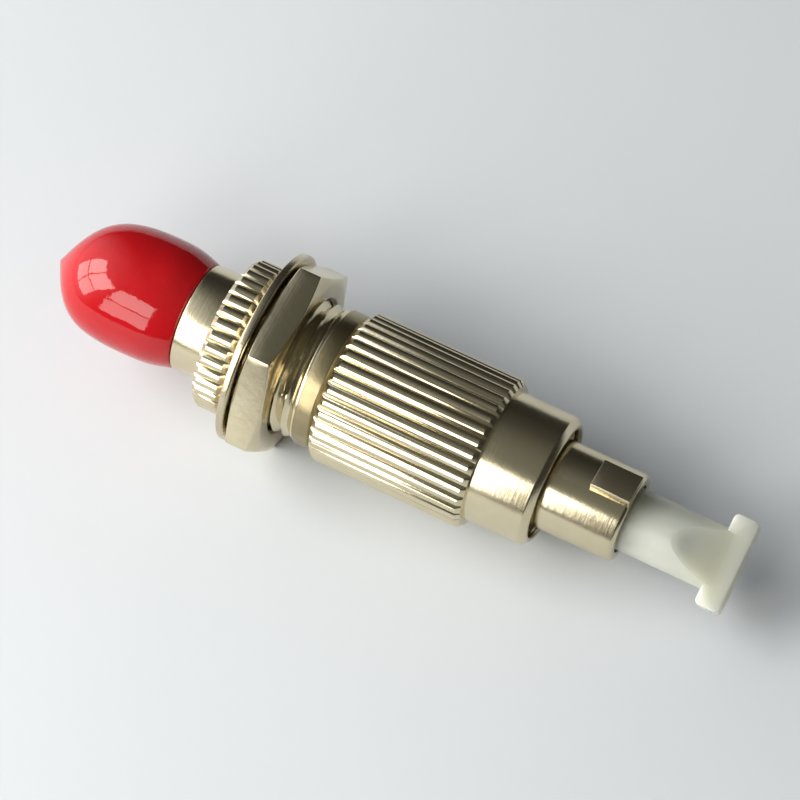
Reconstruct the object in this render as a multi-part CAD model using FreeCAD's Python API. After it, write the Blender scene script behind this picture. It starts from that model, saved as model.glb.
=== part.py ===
"""SMA to FC fibre adapter: a panel-mounted SMA receptacle joined to a keyed FC plug.

Millimetres. The common axis is X, with +X towards the FC end and +Z up. The origin is on the axis, at the
face of the knurled flange that seats against a panel.
"""
import FreeCAD
import Part
import math
import os

# Receptacle: threaded barrel, collar, knurled flange and panel-thread shank
BARREL_D = 6.35
BARREL_LEN = 6.30
BARREL_CHAMFER = 0.35
COLLAR_D = 7.20
COLLAR_LEN = 2.27
FLANGE_D = 10.20
FLANGE_LEN = 2.05
SHANK_D = 9.00
SHANK_LEN = 4.90
SMA_BORE_D = 3.20
BORE_MOUTH_CHAMFER = 0.25
UNDERCUT_D = 3.80
UNDERCUT_LEN = 0.50
UNDERCUT_LEAD = 0.30

# Knurls on the flange and the coupling nut
KNURL_TEETH = 36
KNURL_DEPTH = 0.30
KNURL_CHAMFER = 0.30
KNURL_TOP_SHARE = 0.52
KNURL_ROOT_SHARE = 0.16

# Panel washer and hex nut, both loose on the shank
WASHER_D = 12.90
WASHER_BORE_D = 9.70
WASHER_THICKNESS = 0.50
WASHER_LIFT = 0.27
WASHER_GAP = 0.50
NUT_ACROSS_FLATS = 12.00
NUT_THICKNESS = 2.25
NUT_GAP = 0.05
NUT_CHAMFER_DEG = 28.0
NUT_FACE_SHARE = 0.95

# Plug body: spigot, neck, journal for the coupling nut and its stop collar
SPIGOT_D = 6.80
SPIGOT_LEN = 3.35
NECK_D = 9.20
NECK_LEN = 1.28
NECK_CHAMFER = 0.20
JOURNAL_D = 7.20
STOP_COLLAR_RISE = 0.35
STOP_COLLAR_LEN = 2.05
STUB_PASSAGE_D = 3.40

# Coupling nut and its retaining ring
COUPLING_GROOVE_WALL = 0.265
COUPLING_KNURL_LEN = 10.65
COUPLING_FRONT_D = 8.80
COUPLING_FRONT_LEN = 4.27
COUPLING_FRONT_CHAMFER = 0.40
COUPLING_THREAD_BORE_D = 7.30
COUPLING_TRAVEL = 4.50
THREAD_RELIEF = 2.10
RING_SETBACK = 1.00
RING_THICKNESS = 0.60
RING_BITE = 0.40
RING_SPLIT = 1.20

# FC plug frame with its key
FRAME_D = 5.95
FRAME_SEAT_LEN = 3.50
FRAME_EXPOSED = 5.27
FRAME_BORE_D = 4.60
FRAME_CHAMFER = 0.20
LIP_DEPTH = 4.20
LIP_LEN = 0.90
KEY_WIDTH = 2.05
KEY_HEIGHT = 0.48
KEY_LEN = 2.70
KEY_TURN_DEG = -8.5

# Optical stub: holder, two ferrules and the fibre
FC_FERRULE_D = 2.50
FC_FERRULE_LEN = 10.50
FC_FERRULE_PROUD = 3.50
FC_FERRULE_CHAMFER = 0.30
SMA_FERRULE_D = 3.17
SMA_MATING_DEPTH = 9.00
SMA_FERRULE_CHAMFER = 0.20
HOLDER_FLANGE_D = 4.30
HOLDER_FLANGE_LEN = 1.60
HOLDER_NOSE_D = 3.30
HOLDER_NOSE_LEN = 1.40
HOLDER_TAIL_LEN = 5.00
HOLDER_SPIGOT_D = 1.80
HOLDER_SPIGOT_LEN = 2.50
FIBRE_D = 0.22
FIBRE_BORE_D = 0.40
SPRING_MEAN_D = 3.90
SPRING_WIRE_D = 0.40
SPRING_TURNS = 5
SPRING_STEPS_PER_TURN = 12
SPRING_WIRE_SIDES = 5

# Dust caps
SMA_CAP_D = 8.24
SMA_CAP_RIM_D = 7.20
SMA_CAP_SHOULDER_D = 7.12
SMA_CAP_SHOULDER_LEN = 3.55
SMA_CAP_NOSE_LEN = 2.77
SMA_CAP_NOSE_RISE = 0.36
SMA_CAP_SHOULDER_RISE = 0.13
SMA_CAP_SKIRT_RISE = 0.13
SMA_CAP_NOSE_STEPS = 4
SMA_CAP_FLANK_STEPS = 2
SMA_CAP_TIP_WALL = 1.85
SMA_CAP_TAPER_LEN = 1.50
SMA_CAP_TAPER_END_D = 3.00
FC_CAP_D = 4.20
FC_CAP_INSERTED = 2.00
FC_CAP_BARREL_EXPOSED = 5.88
FC_CAP_GRIP_WIDTH = 6.20
FC_CAP_GRIP_LEN = 1.65
FC_CAP_GRIP_HEIGHT = 2.00
FC_CAP_GRIP_FILLET = 0.35
FC_CAP_GRIP_TURN_DEG = 20.0
FC_CAP_TIP_ROOM = 0.60

# Clearances
SEAT_GAP = 0.05
RUNNING_FIT = 0.05
BORE_FIT = 0.01
SPIGOT_FIT = 0.02
NUT_THREAD_FIT = 0.05
RING_FIT = 0.08
LIP_FIT = 0.10

# Stations along X, from the SMA end to the FC end
FLANGE_X = -FLANGE_LEN
COLLAR_X = FLANGE_X - COLLAR_LEN
BARREL_X = COLLAR_X - BARREL_LEN
WASHER_X = WASHER_GAP
NUT_X = WASHER_X + WASHER_THICKNESS + NUT_GAP
SPIGOT_X = SHANK_LEN - SPIGOT_LEN
NECK_END_X = SHANK_LEN + NECK_LEN
COUPLING_X = NECK_END_X + SEAT_GAP
COUPLING_FRONT_X = COUPLING_X + COUPLING_KNURL_LEN
COUPLING_END_X = COUPLING_FRONT_X + COUPLING_FRONT_LEN
RING_X = COUPLING_X + RING_SETBACK
RING_END_X = RING_X + RING_THICKNESS
STOP_X = RING_END_X + COUPLING_TRAVEL + SEAT_GAP
STOP_END_X = STOP_X + STOP_COLLAR_LEN
THREAD_X = STOP_END_X + THREAD_RELIEF
FRAME_X = STOP_END_X - FRAME_SEAT_LEN
FRAME_END_X = COUPLING_END_X + FRAME_EXPOSED
LIP_X = FRAME_END_X - LIP_DEPTH - LIP_LEN
HOLDER_FLANGE_END_X = LIP_X - SEAT_GAP
HOLDER_FLANGE_X = HOLDER_FLANGE_END_X - HOLDER_FLANGE_LEN
HOLDER_NOSE_END_X = HOLDER_FLANGE_END_X + HOLDER_NOSE_LEN
HOLDER_TAIL_X = HOLDER_FLANGE_X - HOLDER_TAIL_LEN
FC_TIP_X = FRAME_END_X + FC_FERRULE_PROUD
FC_FERRULE_X = FC_TIP_X - FC_FERRULE_LEN
SMA_TIP_X = BARREL_X + SMA_MATING_DEPTH
SMA_CAP_RIM_X = COLLAR_X - SEAT_GAP
SMA_CAP_BORE_END_X = BARREL_X - SEAT_GAP
SMA_CAP_TAPER_X = SMA_CAP_BORE_END_X - SMA_CAP_TAPER_LEN
SMA_CAP_TIP_X = SMA_CAP_TAPER_X - SMA_CAP_TIP_WALL
SMA_CAP_SHOULDER_X = SMA_CAP_TIP_X + SMA_CAP_NOSE_LEN
SMA_CAP_WIDEST_X = SMA_CAP_SHOULDER_X + SMA_CAP_SHOULDER_LEN
FC_CAP_X = FRAME_END_X - FC_CAP_INSERTED
FC_CAP_GRIP_X = FRAME_END_X + FC_CAP_BARREL_EXPOSED

# Diameters that follow the piece inside them, from the journal outwards
STOP_COLLAR_D = JOURNAL_D + 2 * STOP_COLLAR_RISE
COUPLING_BORE_D = STOP_COLLAR_D + 2 * RING_FIT
RING_D = COUPLING_BORE_D + 2 * RING_BITE
RING_BORE_D = JOURNAL_D + 2 * RING_FIT
GROOVE_D = RING_D + 2 * RING_FIT
COUPLING_KNURL_D = GROOVE_D + 2 * (COUPLING_GROOVE_WALL + KNURL_DEPTH)

AXIS_POINT = FreeCAD.Vector(0, 0, 0)
AXIS = FreeCAD.Vector(1, 0, 0)


def at(x, diameter):
    """Point of a turned outline: station along the axis and the diameter there."""
    return FreeCAD.Vector(x, 0, diameter / 2)


def revolve(edges):
    """Solid turned about the axis from closed outline edges."""
    face = Part.Face(Part.Wire(edges))
    return face.revolve(AXIS_POINT, AXIS, 360)


def turned(outline):
    """Solid turned from a closed outline of (station, diameter) corners."""
    points = [at(x, diameter) for x, diameter in outline]
    return revolve(Part.makePolygon(points + points[:1]).Edges)


def bar(x0, x1, diameter):
    """Plain round bar along the axis."""
    return Part.makeCylinder(diameter / 2, x1 - x0, FreeCAD.Vector(x0, 0, 0), AXIS)


def chamfered_bar(x0, x1, diameter, start, end):
    """Round bar whose two end edges have 45 degree chamfers; either may be zero."""
    outline = [(x0, 0), (x0, diameter - 2 * start)]
    if start:
        outline.append((x0 + start, diameter))
    if end:
        outline.append((x1 - end, diameter))
    outline += [(x1, diameter - 2 * end), (x1, 0)]
    return turned(outline)


def polygon_wire(x, radius, sides, turn):
    """Regular polygon across the axis, with its first corner turned from +Y by an angle in radians."""
    corners = []
    for side in range(sides):
        angle = turn + 2 * math.pi * side / sides
        corners.append(FreeCAD.Vector(x, radius * math.cos(angle), radius * math.sin(angle)))
    return Part.makePolygon(corners + corners[:1])


def knurled_bar(x0, x1, diameter):
    """Straight-knurled bar: flat-topped ridges, narrower at the groove floor, with chamfered ends."""
    pitch = 2 * math.pi / KNURL_TEETH
    tip = diameter / 2
    root = tip - KNURL_DEPTH
    half_top = pitch * KNURL_TOP_SHARE / 2
    half_root = pitch * KNURL_ROOT_SHARE / 2
    corners = []
    for tooth in range(KNURL_TEETH):
        middle = tooth * pitch
        groove = middle + pitch / 2
        for radius, angle in [(tip, middle - half_top), (tip, middle + half_top),
                              (root, groove - half_root), (root, groove + half_root)]:
            corners.append(FreeCAD.Vector(x0, radius * math.cos(angle), radius * math.sin(angle)))
    section = Part.Face(Part.makePolygon(corners + corners[:1]))
    ridges = section.extrude(FreeCAD.Vector(x1 - x0, 0, 0))
    # Each side of the chamfered blank is flush with one ridge, so that a ridge ends in one flat facet
    widest = tip / math.cos(pitch / 2)
    stations = [(x0, widest - KNURL_CHAMFER), (x0 + KNURL_CHAMFER, widest),
                (x1 - KNURL_CHAMFER, widest), (x1, widest - KNURL_CHAMFER)]
    outlines = [polygon_wire(x, radius, KNURL_TEETH, pitch / 2) for x, radius in stations]
    return ridges.common(Part.makeLoft(outlines, True, True))


def bulged(start, end, rise, steps):
    """Points of an arc in an outline, up to its end, that stands out from its chord by a rise."""
    chord = end - start
    outward = FreeCAD.Vector(-chord.z, 0, chord.x).normalize()
    arc = Part.Arc(start, (start + end) / 2 + outward * rise, end)
    return arc.discretize(Number=steps + 1)[:-1]


def make_sma_receptacle():
    """Threaded barrel, collar, knurled flange and hollow shank, turned as one piece."""
    barrel = chamfered_bar(BARREL_X, COLLAR_X, BARREL_D, BARREL_CHAMFER, 0)
    collar = bar(COLLAR_X, FLANGE_X, COLLAR_D)
    flange = knurled_bar(FLANGE_X, 0, FLANGE_D)
    shank = bar(0, SHANK_LEN, SHANK_D)
    mouth_d = SMA_BORE_D + 2 * BORE_MOUTH_CHAMFER
    pocket_x = SPIGOT_X - SEAT_GAP
    pocket_d = SPIGOT_D + 2 * SPIGOT_FIT
    undercut_x = SMA_TIP_X - UNDERCUT_LEAD
    undercut_end_x = undercut_x + UNDERCUT_LEN
    hollow = turned([
        (BARREL_X, 0), (BARREL_X, mouth_d), (BARREL_X + BORE_MOUTH_CHAMFER, SMA_BORE_D),
        (undercut_x, SMA_BORE_D), (undercut_x, UNDERCUT_D), (undercut_end_x, UNDERCUT_D),
        (undercut_end_x, SMA_BORE_D), (pocket_x, SMA_BORE_D), (pocket_x, pocket_d),
        (SHANK_LEN, pocket_d), (SHANK_LEN, 0)])
    return barrel.fuse([collar, flange, shank]).cut(hollow).removeSplitter()


def make_panel_washer():
    """Flat washer, lifted on the shank by the surface under it."""
    end_x = WASHER_X + WASHER_THICKNESS
    ring = bar(WASHER_X, end_x, WASHER_D).cut(bar(WASHER_X, end_x, WASHER_BORE_D))
    ring.translate(FreeCAD.Vector(0, 0, WASHER_LIFT))
    return ring


def make_panel_nut():
    """Hex nut with one flat down and both faces chamfered."""
    end_x = NUT_X + NUT_THICKNESS
    corner = NUT_ACROSS_FLATS / 2 / math.cos(math.pi / 6)
    hexagon = Part.Face(polygon_wire(NUT_X, corner, 6, 0))
    prism = hexagon.extrude(FreeCAD.Vector(NUT_THICKNESS, 0, 0))
    face_d = NUT_ACROSS_FLATS * NUT_FACE_SHARE
    slope = (2 * corner - face_d) / 2 * math.tan(math.radians(NUT_CHAMFER_DEG))
    envelope = turned([
        (NUT_X, 0), (NUT_X, face_d), (NUT_X + slope, 2 * corner),
        (end_x - slope, 2 * corner), (end_x, face_d), (end_x, 0)])
    bore = bar(NUT_X, end_x, SHANK_D + 2 * NUT_THREAD_FIT)
    return prism.common(envelope).cut(bore)


def make_plug_body():
    """Spigot into the receptacle, smooth neck, journal and the collar that stops the coupling nut."""
    seat_d = FRAME_D + 2 * SPIGOT_FIT
    blank = turned([
        (SPIGOT_X, 0), (SPIGOT_X, SPIGOT_D), (SHANK_LEN, SPIGOT_D), (SHANK_LEN, NECK_D),
        (NECK_END_X - NECK_CHAMFER, NECK_D), (NECK_END_X, NECK_D - 2 * NECK_CHAMFER),
        (NECK_END_X, JOURNAL_D), (STOP_X, JOURNAL_D), (STOP_X, STOP_COLLAR_D),
        (STOP_END_X, STOP_COLLAR_D), (STOP_END_X, 0)])
    passage = bar(SPIGOT_X, FRAME_X, STUB_PASSAGE_D)
    seat = bar(FRAME_X, STOP_END_X, seat_d)
    return blank.cut(passage.fuse(seat))


def make_coupling_nut():
    """Knurled grip with a smooth front; inside, the ring groove, the relief and the thread's bore."""
    grip = knurled_bar(COUPLING_X, COUPLING_FRONT_X, COUPLING_KNURL_D)
    front = chamfered_bar(COUPLING_FRONT_X, COUPLING_END_X, COUPLING_FRONT_D, 0, COUPLING_FRONT_CHAMFER)
    groove_x = RING_X - SEAT_GAP
    groove_end_x = RING_END_X + SEAT_GAP
    hollow = turned([
        (COUPLING_X, 0), (COUPLING_X, COUPLING_BORE_D), (groove_x, COUPLING_BORE_D),
        (groove_x, GROOVE_D), (groove_end_x, GROOVE_D), (groove_end_x, COUPLING_BORE_D),
        (THREAD_X, COUPLING_BORE_D), (THREAD_X, COUPLING_THREAD_BORE_D),
        (COUPLING_END_X, COUPLING_THREAD_BORE_D), (COUPLING_END_X, 0)])
    return grip.fuse(front).cut(hollow).removeSplitter()


def make_retaining_ring():
    """Split ring that turns with neither piece: in the nut's groove, round the journal."""
    ring = bar(RING_X, RING_END_X, RING_D).cut(bar(RING_X, RING_END_X, RING_BORE_D))
    corner = FreeCAD.Vector(RING_X, -RING_SPLIT / 2, 0)
    return ring.cut(Part.makeBox(RING_THICKNESS, RING_SPLIT, RING_D, corner))


def make_plug_frame():
    """Keyed frame: open front bore, inner lip for the holder's flange and the spring's chamber."""
    tube = chamfered_bar(FRAME_X, FRAME_END_X, FRAME_D, 0, FRAME_CHAMFER)
    key_top = FRAME_D / 2 + KEY_HEIGHT
    key = Part.makeBox(KEY_LEN, KEY_WIDTH, key_top, FreeCAD.Vector(FRAME_END_X - KEY_LEN, -KEY_WIDTH / 2, 0))
    key.rotate(AXIS_POINT, AXIS, KEY_TURN_DEG)
    lip_end_x = LIP_X + LIP_LEN
    lip_d = HOLDER_NOSE_D + 2 * LIP_FIT
    hollow = turned([
        (FRAME_X, 0), (FRAME_X, FRAME_BORE_D), (LIP_X, FRAME_BORE_D), (LIP_X, lip_d),
        (lip_end_x, lip_d), (lip_end_x, FRAME_BORE_D), (FRAME_END_X, FRAME_BORE_D), (FRAME_END_X, 0)])
    return tube.fuse(key).cut(hollow).removeSplitter()


def make_ferrule_holder():
    """Flanged holder: a nose through the frame's lip and a tail with the spigot for the other ferrule."""
    socket_d = FC_FERRULE_D + 2 * BORE_FIT
    spigot_x = HOLDER_TAIL_X - HOLDER_SPIGOT_LEN
    return turned([
        (spigot_x, FIBRE_BORE_D), (spigot_x, HOLDER_SPIGOT_D), (HOLDER_TAIL_X, HOLDER_SPIGOT_D),
        (HOLDER_TAIL_X, SMA_FERRULE_D), (HOLDER_FLANGE_X, SMA_FERRULE_D),
        (HOLDER_FLANGE_X, HOLDER_FLANGE_D), (HOLDER_FLANGE_END_X, HOLDER_FLANGE_D),
        (HOLDER_FLANGE_END_X, HOLDER_NOSE_D), (HOLDER_NOSE_END_X, HOLDER_NOSE_D),
        (HOLDER_NOSE_END_X, socket_d), (FC_FERRULE_X - SEAT_GAP, socket_d),
        (FC_FERRULE_X - SEAT_GAP, FIBRE_BORE_D)])


def make_fc_ferrule():
    """Zirconia ferrule with a chamfered tip and the fibre's bore."""
    blank = chamfered_bar(FC_FERRULE_X, FC_TIP_X, FC_FERRULE_D, 0, FC_FERRULE_CHAMFER)
    return blank.cut(bar(FC_FERRULE_X, FC_TIP_X, FIBRE_BORE_D))


def make_sma_ferrule():
    """Steel ferrule that slides in the receptacle's bore, with a counterbore for the holder's spigot."""
    blank = chamfered_bar(SMA_TIP_X, HOLDER_TAIL_X, SMA_FERRULE_D, SMA_FERRULE_CHAMFER, 0)
    counterbore_x = HOLDER_TAIL_X - HOLDER_SPIGOT_LEN - SEAT_GAP
    counterbore = bar(counterbore_x, HOLDER_TAIL_X, HOLDER_SPIGOT_D + 2 * BORE_FIT)
    return blank.cut(bar(SMA_TIP_X, HOLDER_TAIL_X, FIBRE_BORE_D).fuse(counterbore))


def make_fibre():
    """Fibre from one ferrule's tip to the other's."""
    return bar(SMA_TIP_X, FC_TIP_X, FIBRE_D)


def make_ferrule_spring():
    """Coil spring between the plug body's shoulder and the holder's flange, drawn with a faceted wire."""
    start_x = FRAME_X + SEAT_GAP + SPRING_WIRE_D / 2
    end_x = HOLDER_FLANGE_X - SEAT_GAP - SPRING_WIRE_D / 2
    mean = SPRING_MEAN_D / 2
    steps = SPRING_TURNS * SPRING_STEPS_PER_TURN
    points = []
    for step in range(steps + 1):
        angle = 2 * math.pi * step / SPRING_STEPS_PER_TURN
        x = start_x + (end_x - start_x) * step / steps
        points.append(FreeCAD.Vector(x, mean * math.cos(angle), mean * math.sin(angle)))
    section = polygon_wire(0, SPRING_WIRE_D / 2, SPRING_WIRE_SIDES, 0)
    section.Placement = FreeCAD.Placement(points[0], FreeCAD.Rotation(AXIS, points[1] - points[0]))
    return Part.makePolygon(points).makePipeShell([section], True, False, 1)


def make_sma_dust_cap():
    """Dip-moulded cap: slightly pointed nose, fattest past the middle, thin drawn-in rim."""
    tip = at(SMA_CAP_TIP_X, 0)
    shoulder = at(SMA_CAP_SHOULDER_X, SMA_CAP_SHOULDER_D)
    widest = at(SMA_CAP_WIDEST_X, SMA_CAP_D)
    rim = at(SMA_CAP_RIM_X, SMA_CAP_RIM_D)
    bore_d = BARREL_D + 2 * RUNNING_FIT
    outside = (
        bulged(tip, shoulder, SMA_CAP_NOSE_RISE, SMA_CAP_NOSE_STEPS)
        + bulged(shoulder, widest, SMA_CAP_SHOULDER_RISE, SMA_CAP_FLANK_STEPS)
        + bulged(widest, rim, SMA_CAP_SKIRT_RISE, SMA_CAP_FLANK_STEPS))
    inside = [
        rim, at(SMA_CAP_RIM_X, bore_d), at(SMA_CAP_BORE_END_X, bore_d),
        at(SMA_CAP_TAPER_X, SMA_CAP_TAPER_END_D), at(SMA_CAP_TAPER_X, 0), tip]
    return revolve(Part.makePolygon(outside + inside).Edges)


def make_fc_dust_cap():
    """Moulded cap: a barrel that plugs the frame's bore over the ferrule, and a flat grip across its end."""
    barrel = bar(FC_CAP_X, FC_CAP_GRIP_X, FC_CAP_D)
    corner = FreeCAD.Vector(FC_CAP_GRIP_X, -FC_CAP_GRIP_WIDTH / 2, -FC_CAP_GRIP_HEIGHT / 2)
    block = Part.makeBox(FC_CAP_GRIP_LEN, FC_CAP_GRIP_WIDTH, FC_CAP_GRIP_HEIGHT, corner)
    upright = [edge for edge in block.Edges if edge.BoundBox.ZLength > FC_CAP_GRIP_HEIGHT / 2]
    grip = block.makeFillet(FC_CAP_GRIP_FILLET, upright)
    grip.rotate(AXIS_POINT, AXIS, FC_CAP_GRIP_TURN_DEG)
    bore = bar(FC_CAP_X, FC_TIP_X + FC_CAP_TIP_ROOM, FC_FERRULE_D + 2 * RUNNING_FIT)
    return barrel.fuse(grip).cut(bore).removeSplitter()


NODES = {
    "sma_receptacle": make_sma_receptacle,
    "panel_washer": make_panel_washer,
    "panel_nut": make_panel_nut,
    "plug_body": make_plug_body,
    "coupling_nut": make_coupling_nut,
    "retaining_ring": make_retaining_ring,
    "plug_frame": make_plug_frame,
    "ferrule_holder": make_ferrule_holder,
    "fc_ferrule": make_fc_ferrule,
    "sma_ferrule": make_sma_ferrule,
    "fibre": make_fibre,
    "ferrule_spring": make_ferrule_spring,
    "sma_dust_cap": make_sma_dust_cap,
    "fc_dust_cap": make_fc_dust_cap,
}

os.makedirs("parts", exist_ok=True)
for node, make in NODES.items():
    shape = make()
    print(node, "valid", shape.isValid(), "solids", len(shape.Solids), "volume", round(shape.Volume, 3))
    shape.exportStep("parts/" + node + ".step")
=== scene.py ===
"""Looks of a fibre adapter: an SMA receptacle joined to a keyed FC plug, with a dust cap on each end.

Metres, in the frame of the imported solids: X is the common axis, towards the FC end, and +Z is up.
"""
import math

import bmesh
import bpy
from bpy.props import FloatProperty, FloatVectorProperty, IntProperty, IntVectorProperty, PointerProperty
from bpy.types import Operator, Panel, PropertyGroup
from mathutils import Matrix, Vector
from mathutils.geometry import interpolate_bezier


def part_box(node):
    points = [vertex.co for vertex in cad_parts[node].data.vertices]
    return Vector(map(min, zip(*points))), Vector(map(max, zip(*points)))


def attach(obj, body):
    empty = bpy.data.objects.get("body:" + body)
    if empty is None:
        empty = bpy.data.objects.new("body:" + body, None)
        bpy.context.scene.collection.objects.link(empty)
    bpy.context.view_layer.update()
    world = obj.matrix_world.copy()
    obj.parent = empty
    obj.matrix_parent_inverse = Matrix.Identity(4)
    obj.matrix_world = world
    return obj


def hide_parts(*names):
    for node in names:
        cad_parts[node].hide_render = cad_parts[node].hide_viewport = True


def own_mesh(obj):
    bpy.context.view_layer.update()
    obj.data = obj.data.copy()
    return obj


bl_info = {
    "name": "Fibre Adapter",
    "version": (1, 0, 0),
    "blender": (4, 5, 0),
    "location": "View3D > Sidebar > Adapter",
    "description": "Builds the looks of an SMA to FC fibre adapter over its solids",
    "category": "Add Mesh",
}

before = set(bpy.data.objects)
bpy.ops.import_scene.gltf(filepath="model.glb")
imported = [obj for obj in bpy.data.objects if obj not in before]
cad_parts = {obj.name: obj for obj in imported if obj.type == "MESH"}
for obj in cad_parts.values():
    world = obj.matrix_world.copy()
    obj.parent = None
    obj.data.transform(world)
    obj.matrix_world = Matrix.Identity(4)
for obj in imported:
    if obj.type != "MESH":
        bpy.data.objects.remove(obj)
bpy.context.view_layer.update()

MM = 0.001
AXIS = Vector((1, 0, 0))
ORIGIN = Vector((0, 0, 0))
FULL_TURN = 2 * math.pi

# How fine the meshes are
MERGE_GAP = MM / 10000
ROUND_STEPS = 128
SMALL_STEPS = 96
NUT_STEPS = 144
FLANGE_STEPS_PER_RIDGE = 10
GRIP_STEPS_PER_RIDGE = 12
STEPS_PER_PITCH = 10
NOSE_POINTS = 22
CURVE_POINTS = 10
SPRING_STEPS_PER_TURN = 32
SPRING_WIRE_SIDES = 12
CORNER_SEGMENTS = 4
EDGE_SEGMENTS = 3
GRIP_SEGMENTS = 5

# Edges that turn by more than this are drawn sharp
SHARP = math.radians(34)
# The white cap's flats leave its barrel at 18 degrees: smooth where they start, sharp along their sides
WHITE_SHARP = math.radians(19)
# Outer edges of the panel nut that turn by more than this are rounded
NUT_CORNER = math.radians(40)
NUT_SIDES = 6

# How far tone and gloss drift over a surface
METAL_PATCH = 1.5 * MM
METAL_GLOSS_DRIFT = 0.25
SOLID_GLOSS_DRIFT = 0.15
# Red light goes deeper into a milky plastic than blue light does
SCATTER_TINT = (1, 0.9, 0.75)


def linear(code):
    """Linear colour of an sRGB hex value."""
    channels = [int(code[place:place + 2], 16) / 255 for place in (1, 3, 5)]
    return [c / 12.92 if c <= 0.04045 else ((c + 0.055) / 1.055) ** 2.4 for c in channels]


def length(name, description, millimetres):
    """Property for a length, with its default in millimetres."""
    return FloatProperty(name=name, description=description, default=millimetres * MM,
                         subtype="DISTANCE", precision=5)


def angle(name, description, degrees):
    """Property for an angle, with its default in degrees."""
    return FloatProperty(name=name, description=description, default=math.radians(degrees), subtype="ANGLE")


def share(name, description, default):
    """Property for a share between 0 and 1."""
    return FloatProperty(name=name, description=description, default=default, min=0, max=1, subtype="FACTOR")


def colour(name, description, code):
    """Property for a colour, with its default as an sRGB hex value."""
    return FloatVectorProperty(name=name, description=description, default=linear(code),
                               min=0, max=1, subtype="COLOR")


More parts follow.
